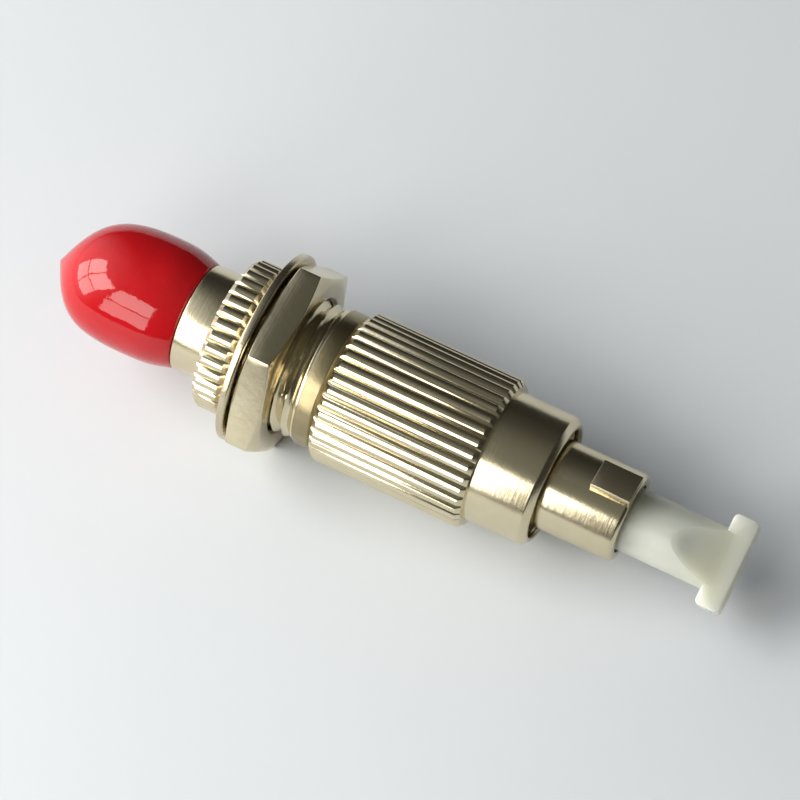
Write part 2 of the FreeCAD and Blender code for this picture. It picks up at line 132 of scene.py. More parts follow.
class AdapterSizes(PropertyGroup):
    """Sizes that the solids' boxes don't give"""
    barrel_d: length("Barrel diameter", "Crests of the SMA thread", 6.35)
    barrel_chamfer: length("Barrel chamfer", "Lead of the SMA thread at its mouth", 0.35)
    sma_bore_d: length("SMA bore", "Bore for the mating ferrule", 3.20)
    bore_chamfer: length("Bore chamfer", "Lead into the SMA bore", 0.25)
    collar_d: length("Collar diameter", "Smooth collar between cap and flange", 7.20)
    collar_gap: length("Collar gap", "Gap between the red cap's rim and the collar", 0.05)
    flange_length: length("Flange length", "Knurled flange along the axis", 2.05)
    shank_d: length("Shank diameter", "Crests of the panel thread", 9.00)
    pocket_d: length("Pocket diameter", "Socket in the shank for the plug body", 6.84)
    pocket_x: length("Pocket floor", "Station of the socket's floor", 1.50)
    sma_pitch: length("SMA pitch", "Thread of 36 turns to the inch", 0.7056)
    panel_pitch: length("Panel pitch", "Fine metric thread of the shank and the coupling nut", 0.75)
    thread_depth: length("Thread depth", "From crest to root", 0.40)
    ridges: IntProperty(name="Ridges", description="Ridges round each knurl", default=36, min=12)
    ridge_depth: length("Ridge depth", "From a ridge's top to the groove floor", 0.27)
    ridge_crown: length("Ridge crown", "Fall from a ridge's middle to its shoulders", 0.15)
    ridge_share: share("Ridge share", "Part of the pitch that a ridge's round top takes", 0.86)
    groove_share: share("Groove share", "Part of the pitch that a groove's floor takes", 0.04)
    knurl_chamfer: length("Knurl chamfer", "Chamfer on both ends of a knurl", 0.30)
    edge_round: length("Edge round", "Broken edges of the turned metal", 0.06)
    washer_round: length("Washer round", "Rolled edges of the stamped washer", 0.16)
    washer_bore_d: length("Washer bore", "Hole in the washer", 9.70)
    nut_bore_d: length("Nut bore", "Crests of the panel nut's thread", 9.10)
    nut_chamfer: angle("Nut chamfer", "Slope of the chamfer on both faces of the panel nut", 18)
    nut_face_share: share("Nut face", "Flat face of the panel nut as a share of its width", 0.95)
    spigot_d: length("Spigot diameter", "Plug body's end inside the shank", 6.80)
    neck_length: length("Neck length", "Smooth neck beside the coupling nut", 1.28)
    neck_chamfer: length("Neck chamfer", "Chamfer of the neck towards the coupling nut", 0.20)
    journal_d: length("Journal diameter", "Where the coupling nut's ring runs", 7.20)
    stop_collar_d: length("Stop collar", "Collar that stops the coupling nut", 7.90)
    stop_collar_length: length("Stop collar length", "Stop collar along the axis", 2.05)
    passage_d: length("Passage", "Bore of the plug body round the ferrule", 3.40)
    frame_seat_d: length("Frame seat", "Bore of the plug body round the plug frame", 5.99)
    grip_length: length("Grip length", "Knurled part of the coupling nut", 10.65)
    front_d: length("Front diameter", "Smooth front of the coupling nut", 8.80)
    front_chamfer: length("Front chamfer", "Chamfer round the coupling nut's mouth", 0.40)
    mouth: length("Mouth", "Lead into the coupling nut's thread", 0.15)
    coupling_bore_d: length("Coupling bore", "Bore of the coupling nut over the stop collar", 8.06)
    coupling_thread_d: length("Coupling thread", "Crests of the coupling nut's thread", 7.30)
    relief_x: length("Relief end", "Station where the coupling nut's thread starts", 16.53)
    groove_d: length("Ring groove", "Groove for the retaining ring", 9.02)
    frame_bore_d: length("Frame bore", "Open front of the plug frame", 4.60)
    frame_d: length("Frame diameter", "Outside of the plug frame", 5.95)
    frame_chamfer: length("Frame chamfer", "Front edge of the plug frame", 0.20)
    lip_d: length("Lip bore", "Inner lip that holds the ferrule holder", 3.50)
    lip_x: length("Lip station", "Inner lip's station", 21.32)
    lip_length: length("Lip length", "Inner lip along the axis", 0.90)
    key_width: length("Key width", "Key across the axis", 2.05)
    key_length: length("Key length", "Key along the axis", 2.70)
    key_height: length("Key height", "Key's top above the frame", 0.48)
    key_turn: angle("Key turn", "Turn of the key about the axis from straight up", -8.5)
    key_round: length("Key round", "Broken edges of the key", 0.03)
    red_bore_d: length("Red cap bore", "Bore of the red cap over the barrel", 6.45)
    red_widest_x: length("Red cap's widest station", "Where the red cap is fattest", -7.70)
    red_rim_d: length("Red cap rim", "Drawn-in rim of the red cap", 7.20)
    red_nose_run: length("Red nose run", "How far the nose's first slope runs along the axis", 1.50)
    red_nose_rise: length("Red nose rise", "How far the nose's first slope rises", 3.10)
    red_shoulder_run: length("Red shoulder", "Level run before the widest station", 3.99)
    red_skirt_run: length("Red skirt", "Level run after the widest station", 1.60)
    red_rim_run: length("Red rim run", "How far the rim's slope runs along the axis", 1.20)
    red_rim_rise: length("Red rim rise", "How far the rim's slope rises", 0.42)
    red_rim_round: share("Red rim rounding", "Rounding of the rim as a share of its wall", 0.45)
    red_bend: length("Red nose bend", "How far the soft nose has sagged towards -Y", 0.45)
    red_bore_x: length("Red cap bore end", "Where the red cap's bore narrows", -10.67)
    red_floor_x: length("Red cap floor", "End of the red cap's hollow", -12.17)
    white_d: length("White cap barrel", "Barrel of the white cap", 4.20)
    white_bore_d: length("White cap bore", "Bore of the white cap round the ferrule", 2.60)
    white_bore_x: length("White cap bore end", "End of the white cap's bore", 30.52)
    white_grip_width: length("White grip width", "Flat grip across the white cap's end", 6.20)
    white_grip_length: length("White grip length", "Flat grip along the axis", 1.65)
    white_grip_height: length("White grip height", "Thickness of the flat grip", 2.00)
    white_grip_corner: length("White grip corners", "Rounded upright corners of the grip", 0.35)
    white_grip_turn: angle("White grip turn", "Turn of the grip about the axis from level", 20)
    white_slope_x: length("White slope", "Station where the barrel's two sloping flats start", 29.50)
    white_blend: length("White blend", "How far those flats run on over the grip", 0.80)
    white_round: length("White rounding", "Moulded edges of the white cap", 0.08)
    spring_wire_d: length("Spring wire", "Wire of the coil spring behind the ferrule holder", 0.40)
    spring_mean_d: length("Spring diameter", "Coil spring across the middle of its wire", 3.90)
    spring_turns: IntProperty(name="Spring turns", description="Turns of the coil spring", default=5, min=1)
    ferrule_chamfer: length("Ferrule chamfer", "Lead on the ceramic ferrule's tip", 0.30)
    fibre_bore_d: length("Fibre bore", "Bore of the ceramic ferrule", 0.40)


class AdapterFinish(PropertyGroup):
    """Colours of the finishes"""
    nickel_light: colour("Nickel, light", "Bright nickel over brass, where it is thick", "#E3D9BD")
    nickel_dark: colour("Nickel, warm", "Bright nickel over brass, where the brass warms it", "#D0C3A0")
    # The dull plate's darker colours are painted shade on the neck between the two nuts
    dull_shaded_light: colour("Dull plate, light", "Thin nickel that has dulled", "#B0A483")
    dull_shaded_dark: colour("Dull plate, brown", "Thin nickel that has dulled, where the brass shows", "#8C7F5E")
    stamped_light: colour("Washer, light", "Thin plate over stamped steel", "#DACFB6")
    stamped_dark: colour("Washer, warm", "Thin plate over stamped steel in its streaks", "#BFB293")
    steel_light: colour("Steel, light", "Drawn and ground steel", "#C9C7C0")
    steel_dark: colour("Steel, dark", "Drawn and ground steel in its streaks", "#A9A69C")
    vinyl_light: colour("Vinyl, light", "Dip-moulded red vinyl", "#BA161C")
    vinyl_dark: colour("Vinyl, deep", "Dip-moulded red vinyl where it is thick", "#A41017")
    polyethylene_light: colour("Polyethylene, light", "Unpigmented moulded polyethylene", "#D5D6C6")
    # The greyer tone of the solid end and grip is painted shade
    polyethylene_shaded_end: colour("Polyethylene, thick", "Unpigmented polyethylene where it is solid", "#C4C6B8")
    polyethylene_dark: colour("Polyethylene, grey", "Unpigmented polyethylene in its flow lines", "#C8C9B9")
    zirconia_light: colour("Zirconia", "Polished ceramic", "#F1F0EC")
    zirconia_dark: colour("Zirconia, shade", "Polished ceramic in its grain", "#E5E3DC")
    glass: colour("Fibre", "Bare drawn silica", "#DCE6EA")
    table_light: colour("Table, light", "Plain pale table top", "#D3D7DB")
    table_dark: colour("Table, grey", "Plain pale table top in its mottle", "#CDD1D6")


class AdapterStage(PropertyGroup):
    """Camera, table, windows and room"""
    view_azimuth: angle("View azimuth", "Camera's direction, from the -Y side towards +X", 27.3)
    view_elevation: angle("View elevation", "Camera's height over the level plane", 64.4)
    view_distance: length("View distance", "Camera to the aim", 280)
    view_aim_x: length("View aim", "Point on the axis under the middle of the picture", 10.24)
    view_aim_rise: length("View rise", "Middle of the picture above that point", 0.73)
    lens: FloatProperty(
        name="Lens", description="Focal length in millimetres", default=200, subtype="DISTANCE_CAMERA")
    table_tilt: angle("Table tilt", "Slope of the table to the axis: the part lies on nut and knurl", 3.93)
    table_x: length("Table station", "Where the panel nut rests on the table", 3.14)
    table_z: length("Table height", "Height of the table at that station", -6.02)
    table_size: length("Table size", "Level part of the table, across", 180)
    floor_size: length("Floor size", "Whole sheet, with the lower floor round the table", 760)
    floor_drop: length("Floor drop", "How far the floor lies under the table", 20)
    floor_run: length("Floor run", "Width of the soft step down to the floor", 110)
    floor_mesh: length("Floor mesh", "Spacing of the sheet's faces", 5)
    window_azimuths: FloatVectorProperty(
        name="Windows", description="Directions of the two windows, from the -Y side towards +X", size=2,
        default=(math.radians(-17), math.radians(-68)), unit="ROTATION")
    window_columns: IntVectorProperty(
        name="Window columns", description="Panes side by side in each window", size=2, default=(1, 2), min=1)
    window_levels: FloatVectorProperty(
        name="Window levels", description="Brightness of the two windows against each other", size=2,
        default=(1.0, 1.3))
    window_elevation: angle("Window elevation", "Height of the windows over the level plane", 27)
    window_distance: length("Window distance", "Panes to the object", 230)
    window_tint: colour("Window tint", "Colour of the daylight in the panes", "#FFFCF6")
    upper_radiance: FloatProperty(
        name="Upper panes", description="Brightness of the upper panes", default=5.5, min=0)
    lower_radiance: FloatProperty(
        name="Lower panes", description="Brightness of the lower panes", default=4.6, min=0)
    pane_width: length("Pane width", "One pane of a window", 95)
    pane_height: length("Pane height", "One pane of a window", 94)
    pane_bar: length("Bar", "Bar between two panes", 8.5)
    wall_direction: FloatVectorProperty(
        name="Wall", description="Direction of the bright wall that lightens the shadows", size=3,
        default=(-0.95, -0.1, 0.28), subtype="DIRECTION")
    wall_edge: share("Wall edge", "Cosine of the angle at which the wall's light ends", 0.45)
    wall_core: share("Wall core", "Cosine of the angle at which the wall is brightest", 0.96)
    wall_radiance: FloatProperty(name="Wall light", description="Brightness of the wall", default=1.3, min=0)
    wall_tint: colour("Wall tint", "Colour of the wall's light", "#F4F9FF")
    room_low: colour("Room, low", "The room at the level of the table", "#2F2E2B")
    room_side: colour("Room, side", "The room half way up", "#474542")
    room_high: colour("Room, high", "The room overhead", "#6E706A")
    room_top: FloatVectorProperty(
        name="Room top", description="Direction of the palest part of the room", size=3,
        default=(0, -0.3, 0.95), subtype="DIRECTION")
    room_heights: FloatVectorProperty(
        name="Room heights", description="Heights of the three tones, as cosines from that direction", size=3,
        default=(0.06, 0.55, 1.0))


def add_node(tree, kind, inputs=None, **settings):
    """Add a node, give it settings, and set or link its inputs by name or place."""
    node = tree.nodes.new(kind)
    for name, value in settings.items():
        setattr(node, name, value)
    for name, value in (inputs or {}).items():
        if isinstance(value, bpy.types.NodeSocket):
            tree.links.new(value, node.inputs[name])
        else:
            node.inputs[name].default_value = value
    return node


def new_tree(name):
    """Empty node tree of a new material."""
    material = bpy.data.materials.new(name)
    material.use_nodes = True
    material.node_tree.nodes.clear()
    return material.node_tree


def opaque(value):
    """Colour of a property with an alpha of one."""
    return [*value, 1]


def mottled(tree, light, dark, size):
    """Colour that drifts between two tones in patches of a size, and the pattern behind it."""
    place = add_node(tree, "ShaderNodeTexCoord").outputs["Object"]
    patches = add_node(tree, "ShaderNodeTexNoise", {"Vector": place, "Scale": 1 / size, "Detail": 3})
    tone = add_node(tree, "ShaderNodeMix", {0: patches.outputs[0], 6: opaque(light), 7: opaque(dark)},
                    data_type="RGBA")
    return tone.outputs[2], patches.outputs[0], place


def mix_metal(name, light, dark, roughness, mark_spacing, mark_depth, peel_size, peel_depth):
    """Bare or plated metal with turning marks round the axis and the faint ripple of its plating."""
    tree = new_tree(name)
    tone, patches, place = mottled(tree, light, dark, METAL_PATCH)
    along = add_node(tree, "ShaderNodeSeparateXYZ", {0: place}).outputs["X"]
    marks = add_node(tree, "ShaderNodeTexNoise", {"W": along, "Scale": 1 / mark_spacing, "Detail": 2},
                     noise_dimensions="1D")
    peel = add_node(tree, "ShaderNodeTexNoise", {"Vector": place, "Scale": 1 / peel_size, "Detail": 2})
    turned = add_node(tree, "ShaderNodeBump", {"Height": marks.outputs[0], "Distance": mark_depth})
    rippled = add_node(tree, "ShaderNodeBump", {
        "Height": peel.outputs[0], "Distance": peel_depth, "Normal": turned.outputs["Normal"]})
    gloss = add_node(tree, "ShaderNodeMapRange", {
        "Value": patches, "To Min": roughness * (1 - METAL_GLOSS_DRIFT),
        "To Max": roughness * (1 + METAL_GLOSS_DRIFT)})
    shader = add_node(tree, "ShaderNodeBsdfPrincipled", {
        "Base Color": tone, "Metallic": 1, "Roughness": gloss.outputs["Result"],
        "Normal": rippled.outputs["Normal"]})
    add_node(tree, "ShaderNodeOutputMaterial", {"Surface": shader.outputs["BSDF"]})


def mix_solid(name, light, dark, roughness, ior, patch_size, grain_size, grain_depth, scatter=0,
              scatter_radius=0, clearness=0, fade=None):
    """Plastic, ceramic, glass or table top: drifting tone, fine grain, scattered light, a fade along X."""
    tree = new_tree(name)
    tone, patches, place = mottled(tree, light, dark, patch_size)
    # A fade to another tone along X: on the white cap it is painted shade over the solid end and grip
    if fade:
        start_x, end_x, end_tone = fade
        along = add_node(tree, "ShaderNodeSeparateXYZ", {0: place}).outputs["X"]
        faded = add_node(tree, "ShaderNodeMapRange", {"Value": along, "From Min": start_x, "From Max": end_x})
        tone = add_node(tree, "ShaderNodeMix", {0: faded.outputs["Result"], 6: tone, 7: opaque(end_tone)},
                        data_type="RGBA").outputs[2]
    grain = add_node(tree, "ShaderNodeTexNoise", {"Vector": place, "Scale": 1 / grain_size, "Detail": 3})
    bump = add_node(tree, "ShaderNodeBump", {"Height": grain.outputs[0], "Distance": grain_depth})
    gloss = add_node(tree, "ShaderNodeMapRange", {
        "Value": patches, "To Min": roughness * (1 - SOLID_GLOSS_DRIFT),
        "To Max": roughness * (1 + SOLID_GLOSS_DRIFT)})
    shader = add_node(tree, "ShaderNodeBsdfPrincipled", {
        "Base Color": tone, "Roughness": gloss.outputs["Result"], "IOR": ior,
        "Normal": bump.outputs["Normal"], "Subsurface Weight": scatter, "Subsurface Radius": SCATTER_TINT,
        "Subsurface Scale": scatter_radius, "Transmission Weight": clearness})
    add_node(tree, "ShaderNodeOutputMaterial", {"Surface": shader.outputs["BSDF"]})


def turn(outline, steps, closed=True):
    """New mesh spun about X from (station, radius, rounding) corners; an open outline ends on the axis."""
    bm = bmesh.new()
    corners = [bm.verts.new((x, 0, radius)) for x, radius, _ in outline]
    following = corners[1:] + corners[:1] if closed else corners[1:]
    for start, end in zip(corners, following):
        bm.edges.new((start, end))
    for rounding in sorted({corner[2] for corner in outline} - {0}):
        rounded = [vert for vert, corner in zip(corners, outline) if corner[2] == rounding]
        bmesh.ops.bevel(bm, geom=rounded, offset=rounding, offset_type="OFFSET", segments=CORNER_SEGMENTS,
                        profile=0.5, affect="VERTICES", material=-1)
    bmesh.ops.spin(bm, geom=bm.verts[:] + bm.edges[:], cent=ORIGIN, axis=AXIS, angle=FULL_TURN, steps=steps,
                   use_merge=True)
    return bm


def round_edges(bm, edges, offset, segments, clamp_overlap=False):
    """Round some edges of a mesh."""
    bmesh.ops.bevel(bm, geom=edges, offset=offset, offset_type="OFFSET", segments=segments, profile=0.5,
                    affect="EDGES", material=-1, clamp_overlap=clamp_overlap)


def cut_flat(bm, place, outward):
    """Cut off what lies outside a plane, and close the cut."""
    bmesh.ops.bisect_plane(bm, geom=bm.verts[:] + bm.edges[:] + bm.faces[:], dist=MERGE_GAP,
                           plane_co=place, plane_no=outward, clear_outer=True)
    bmesh.ops.holes_fill(bm, edges=[cut for cut in bm.edges if cut.is_boundary], sides=0)


def add_object(bm, name):
    """New object in the scene with a finished mesh."""
    mesh = bpy.data.meshes.new(name)
    bm.to_mesh(mesh)
    bm.free()
    thing = bpy.data.objects.new(name, mesh)
    bpy.context.scene.collection.objects.link(thing)
    return thing


def unite(first, second):
    """Melt two closed meshes that overlap into one shell."""
    halves = []
    for bm in (first, second):
        bmesh.ops.remove_doubles(bm, verts=bm.verts, dist=MERGE_GAP)
        bmesh.ops.recalc_face_normals(bm, faces=bm.faces)
        halves.append(add_object(bm, "half"))
    union = halves[0].modifiers.new("union", "BOOLEAN")
    union.operation = "UNION"
    union.solver = "EXACT"
    union.object = halves[1]
    joined = bmesh.new()
    joined.from_object(halves[0], bpy.context.evaluated_depsgraph_get())
    for half in halves:
        bpy.data.meshes.remove(half.data)
    return joined


def stretch(x0, x1, radius, step):
    """Corners along a straight stretch, a step apart, for what is cut into it afterwards."""
    count = math.ceil((x1 - x0) / step)
    return [(x0 + (x1 - x0) * place / count, radius, 0) for place in range(count + 1)]


def set_radius(vert, radius):
    """Move a vertex straight in or out, to a distance from the axis."""
    scale = radius / math.hypot(vert.co.y, vert.co.z)
    vert.co.y *= scale
    vert.co.z *= scale


def turn_of(vert):
    """Place of a vertex round the axis, in full turns from +Y."""
    return math.atan2(vert.co.z, vert.co.y) / FULL_TURN


def cut_thread(bm, x0, x1, crest, pitch, depth):
    """Cut a right-hand thread between two stations; a negative depth cuts outwards, into a bore."""
    tolerance = abs(depth) / 10
    for vert in bm.verts:
        radius = math.hypot(vert.co.y, vert.co.z)
        if x0 < vert.co.x < x1 and abs(radius - crest) < tolerance:
            phase = ((vert.co.x - x0) / pitch - turn_of(vert)) % 1
            runout = min(1, (vert.co.x - x0) / pitch, (x1 - vert.co.x) / pitch)
            set_radius(vert, radius - depth * runout * (1 - abs(2 * phase - 1)))


def cut_knurl(bm, x0, x1, tip, sizes):
    """Cut straight grooves between two stations, which leave crowned ridges along the axis."""
    floor = tip - sizes.ridge_depth
    shoulder = tip - sizes.ridge_crown
    flank = 1 - sizes.groove_share - sizes.ridge_share
    for vert in bm.verts:
        radius = math.hypot(vert.co.y, vert.co.z)
        if not x0 <= vert.co.x <= x1 or radius <= floor:
            continue
        phase = turn_of(vert) * sizes.ridges % 1
        off_middle = 2 * min(phase, 1 - phase)
        fall = (off_middle - sizes.ridge_share) / flank
        if fall <= 0:
            ridge = tip - sizes.ridge_crown * (off_middle / sizes.ridge_share) ** 2
        else:
            ridge = shoulder + (floor - shoulder) * min(1, fall)
        set_radius(vert, min(radius, ridge))


def finish_piece(bm, name, body, node, finish, sharp=SHARP):
    """Close the mesh, give it its finish, let it stand for a solid and move with its body, and return it."""
    bmesh.ops.remove_doubles(bm, verts=bm.verts, dist=MERGE_GAP)
    bmesh.ops.recalc_face_normals(bm, faces=bm.faces)
    if not all(edge.is_manifold for edge in bm.edges):
        raise RuntimeError(name + " is not a closed shell")
    piece = add_object(bm, name)
    piece.data.shade_smooth()
    piece.data.set_sharp_from_angle(angle=sharp)
    piece.data.materials.append(bpy.data.materials[finish])
    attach(piece, body)
    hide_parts(node)
    return piece


class ADAPTER_OT_finishes(Operator):
    """Mix the materials of the pieces and of the table"""
    bl_idname = "adapter.finishes"
    bl_label = "Finishes"

    def execute(self, context):
        look = context.scene.adapter_finish
        solid_x = context.scene.adapter_sizes.white_bore_x
        # Bright nickel on turned brass: a warm mirror, with its tool rings drawn coarser so that they show
        mix_metal("turned_nickel_plate", look.nickel_light, look.nickel_dark, roughness=0.21,
                  mark_spacing=0.22 * MM, mark_depth=0.003 * MM, peel_size=0.45 * MM, peel_depth=0.006 * MM)
        # The same plate, rougher, on the neck between the two nuts; its darker colours are painted shade
        mix_metal("dull_shaded_nickel_plate", look.dull_shaded_light, look.dull_shaded_dark, roughness=0.32,
                  mark_spacing=0.18 * MM, mark_depth=0.004 * MM, peel_size=0.35 * MM, peel_depth=0.010 * MM)
        # Stamped and plated steel: duller than the turned pieces, with a tumbled surface
        mix_metal("plated_stamped_steel", look.stamped_light, look.stamped_dark, roughness=0.26,
                  mark_spacing=0.15 * MM, mark_depth=0.001 * MM, peel_size=0.30 * MM, peel_depth=0.012 * MM)
        # Drawn and ground steel inside: fine bright rings
        mix_metal("ground_spring_steel", look.steel_light, look.steel_dark, roughness=0.22,
                  mark_spacing=0.12 * MM, mark_depth=0.002 * MM, peel_size=0.50 * MM, peel_depth=0.004 * MM)
        # Dip-moulded vinyl: saturated and glossy, with the soft ripple that a dipped skin cures with
        mix_solid("dipped_red_vinyl", look.vinyl_light, look.vinyl_dark, roughness=0.06, ior=1.48,
                  patch_size=3 * MM, grain_size=1.6 * MM, grain_depth=0.03 * MM,
                  scatter=0.08, scatter_radius=0.4 * MM)
        # Natural polyethylene: milky and satin from the mould, with its solid end and grip painted greyer
        # than the hollow barrel as painted shade
        mix_solid("natural_polyethylene", look.polyethylene_light, look.polyethylene_dark, roughness=0.38,
                  ior=1.51, patch_size=2 * MM, grain_size=0.25 * MM, grain_depth=0.006 * MM,
                  scatter=1, scatter_radius=4.2 * MM,
                  fade=(solid_x - 2 * MM, solid_x + 0.5 * MM, look.polyethylene_shaded_end))
        # Polished zirconia: dense white ceramic with a glassy surface
        mix_solid("polished_zirconia", look.zirconia_light, look.zirconia_dark, roughness=0.08, ior=2.1,
                  patch_size=1 * MM, grain_size=0.2 * MM, grain_depth=0.0005 * MM,
                  scatter=0.15, scatter_radius=0.2 * MM)
        # Drawn silica fibre: clear glass
        mix_solid("drawn_silica", look.glass, look.glass, roughness=0.05, ior=1.46,
                  patch_size=1 * MM, grain_size=0.2 * MM, grain_depth=0.0002 * MM, clearness=0.9)
        # Painted table top: matt, with a faint mottle
        mix_solid("pale_table_top", look.table_light, look.table_dark, roughness=0.75, ior=1.45,
                  patch_size=25 * MM, grain_size=0.8 * MM, grain_depth=0.01 * MM)
        for node, finish in {"ferrule_holder": "turned_nickel_plate", "sma_ferrule": "ground_spring_steel",
                             "retaining_ring": "ground_spring_steel", "fibre": "drawn_silica"}.items():
            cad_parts[node].material_slots[0].material = bpy.data.materials[finish]
        return {"FINISHED"}


class ADAPTER_OT_red_cap(Operator):
    """Build the dip-moulded cap over the SMA barrel: slightly pointed nose, fat middle, drawn-in rim"""
    bl_idname = "adapter.red_cap"
    bl_label = "Red cap"

    def execute(self, context):
        sizes = context.scene.adapter_sizes
        low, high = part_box("sma_dust_cap")
        widest_r = high.z
        tip = Vector((low.x, 0, 0))
        widest = Vector((sizes.red_widest_x, 0, widest_r))
        rim = Vector((high.x, 0, sizes.red_rim_d / 2))
        nose_slope = Vector((sizes.red_nose_run, 0, sizes.red_nose_rise))
        shoulder_run = Vector((sizes.red_shoulder_run, 0, 0))
        skirt_run = Vector((sizes.red_skirt_run, 0, 0))
        rim_slope = Vector((-sizes.red_rim_run, 0, sizes.red_rim_rise))
        nose = interpolate_bezier(tip, tip + nose_slope, widest - shoulder_run, widest, NOSE_POINTS)
        skirt = interpolate_bezier(widest, widest + skirt_run, rim + rim_slope, rim, CURVE_POINTS)
        outside = [(point.x, point.z, 0) for point in nose + skirt[1:-1]]
        bore_r = sizes.red_bore_d / 2
        rounding = (rim.z - bore_r) * sizes.red_rim_round
        hollow_x = (sizes.red_bore_x + sizes.red_floor_x) / 2
        hollow = interpolate_bezier(
            Vector((sizes.red_bore_x, 0, bore_r)), Vector((hollow_x, 0, bore_r)),
            Vector((sizes.red_floor_x, 0, bore_r / 2)), Vector((sizes.red_floor_x, 0, 0)), CURVE_POINTS)
        inside = [(rim.x, rim.z, rounding), (rim.x, bore_r, rounding)]
        inside += [(point.x, point.z, 0) for point in hollow]
        bm = turn(outside + inside, SMALL_STEPS, closed=False)
        for vert in bm.verts:
            vert.co.y -= sizes.red_bend * ((rim.x - vert.co.x) / (rim.x - tip.x)) ** 3
        finish_piece(bm, "red_vinyl_cap", "sma_cap", "sma_dust_cap", "dipped_red_vinyl")
        return {"FINISHED"}


class ADAPTER_OT_receptacle(Operator):
    """Build the receptacle: threaded barrel, smooth collar, knurled flange and threaded shank"""
    bl_idname = "adapter.receptacle"
    bl_label = "Receptacle"

    def execute(self, context):
        sizes = context.scene.adapter_sizes
        low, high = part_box("sma_receptacle")
        collar_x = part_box("sma_dust_cap")[1].x + sizes.collar_gap
        flange_x = -sizes.flange_length
        flange_r = high.z
        barrel_r = sizes.barrel_d / 2
        shank_r = sizes.shank_d / 2
        bore_r = sizes.sma_bore_d / 2
        edge = sizes.edge_round
        chamfer = sizes.knurl_chamfer
        barrel_x = low.x + sizes.barrel_chamfer
        thread_step = sizes.panel_pitch / STEPS_PER_PITCH
        outline = [(low.x + sizes.bore_chamfer, bore_r, 0), (low.x, bore_r + sizes.bore_chamfer, edge),
                   (low.x, barrel_r - sizes.barrel_chamfer, edge)]
        outline += stretch(barrel_x, collar_x, barrel_r, thread_step)
        outline += [(collar_x, sizes.collar_d / 2, edge), (flange_x, sizes.collar_d / 2, 0),
                    (flange_x, flange_r - chamfer, 0), (flange_x + chamfer, flange_r, 0),
                    (-chamfer, flange_r, 0), (0, flange_r - chamfer, 0)]
        outline += stretch(0, high.x, shank_r, thread_step)
        outline += [(high.x, sizes.pocket_d / 2, 0), (sizes.pocket_x, sizes.pocket_d / 2, 0),
                    (sizes.pocket_x, bore_r, 0)]
        bm = turn(outline, sizes.ridges * FLANGE_STEPS_PER_RIDGE)
        cut_thread(bm, low.x, collar_x, barrel_r, sizes.sma_pitch, sizes.thread_depth)
        cut_thread(bm, 0, high.x, shank_r, sizes.panel_pitch, sizes.thread_depth)
        cut_knurl(bm, flange_x, 0, flange_r, sizes)
        finish_piece(bm, "receptacle_body", "adapter_body", "sma_receptacle",
                     "turned_nickel_plate")
        return {"FINISHED"}


class ADAPTER_OT_washer(Operator):
    """Build the stamped washer, which hangs a little off the axis on the shank"""
    bl_idname = "adapter.washer"
    bl_label = "Panel washer"

    def execute(self, context):
        sizes = context.scene.adapter_sizes
        low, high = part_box("panel_washer")
        outer_r = (high.y - low.y) / 2
        inner_r = sizes.washer_bore_d / 2
        rolled = sizes.washer_round
        edge = sizes.edge_round
        bm = turn([(low.x, inner_r, edge), (low.x, outer_r, edge), (high.x, outer_r, rolled),
                   (high.x, inner_r, rolled)], ROUND_STEPS)
        bmesh.ops.translate(bm, verts=bm.verts, vec=(0, 0, (low.z + high.z) / 2))
        finish_piece(bm, "washer_ring", "washer", "panel_washer", "plated_stamped_steel")
        return {"FINISHED"}


class ADAPTER_OT_panel_nut(Operator):
    """Build the hex nut: a blank turned with two chamfers, with six flats cut on it"""
    bl_idname = "adapter.panel_nut"
    bl_label = "Panel nut"

    def execute(self, context):
        sizes = context.scene.adapter_sizes
        low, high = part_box("panel_nut")
        flat_r = high.z
        corner_r = high.y
        face_r = flat_r * sizes.nut_face_share
        bore_r = sizes.nut_bore_d / 2
        edge = sizes.edge_round
        slope = (corner_r - face_r) * math.tan(sizes.nut_chamfer)
        countersink = sizes.thread_depth / 2
        bm = turn([(low.x, face_r, edge), (low.x + slope, corner_r, 0), (high.x - slope, corner_r, 0),
                   (high.x, face_r, edge), (high.x, bore_r + countersink, edge),
                   (high.x - countersink, bore_r, 0), (low.x + countersink, bore_r, 0),
                   (low.x, bore_r + countersink, edge)], NUT_STEPS)
        bmesh.ops.remove_doubles(bm, verts=bm.verts, dist=MERGE_GAP)
        for side in range(NUT_SIDES):
            outward = Vector((0, 0, 1)) @ Matrix.Rotation(side * FULL_TURN / NUT_SIDES, 3, "X")
            cut_flat(bm, outward * flat_r, outward)
        bmesh.ops.recalc_face_normals(bm, faces=bm.faces)
        corners = [cut for cut in bm.edges if cut.is_manifold and cut.calc_face_angle() > NUT_CORNER
                   and min(math.hypot(vert.co.y, vert.co.z) for vert in cut.verts) > face_r]
        round_edges(bm, corners, edge, EDGE_SEGMENTS, clamp_overlap=True)
        finish_piece(bm, "hex_panel_nut", "hex_nut", "panel_nut",
                     "turned_nickel_plate")
        return {"FINISHED"}


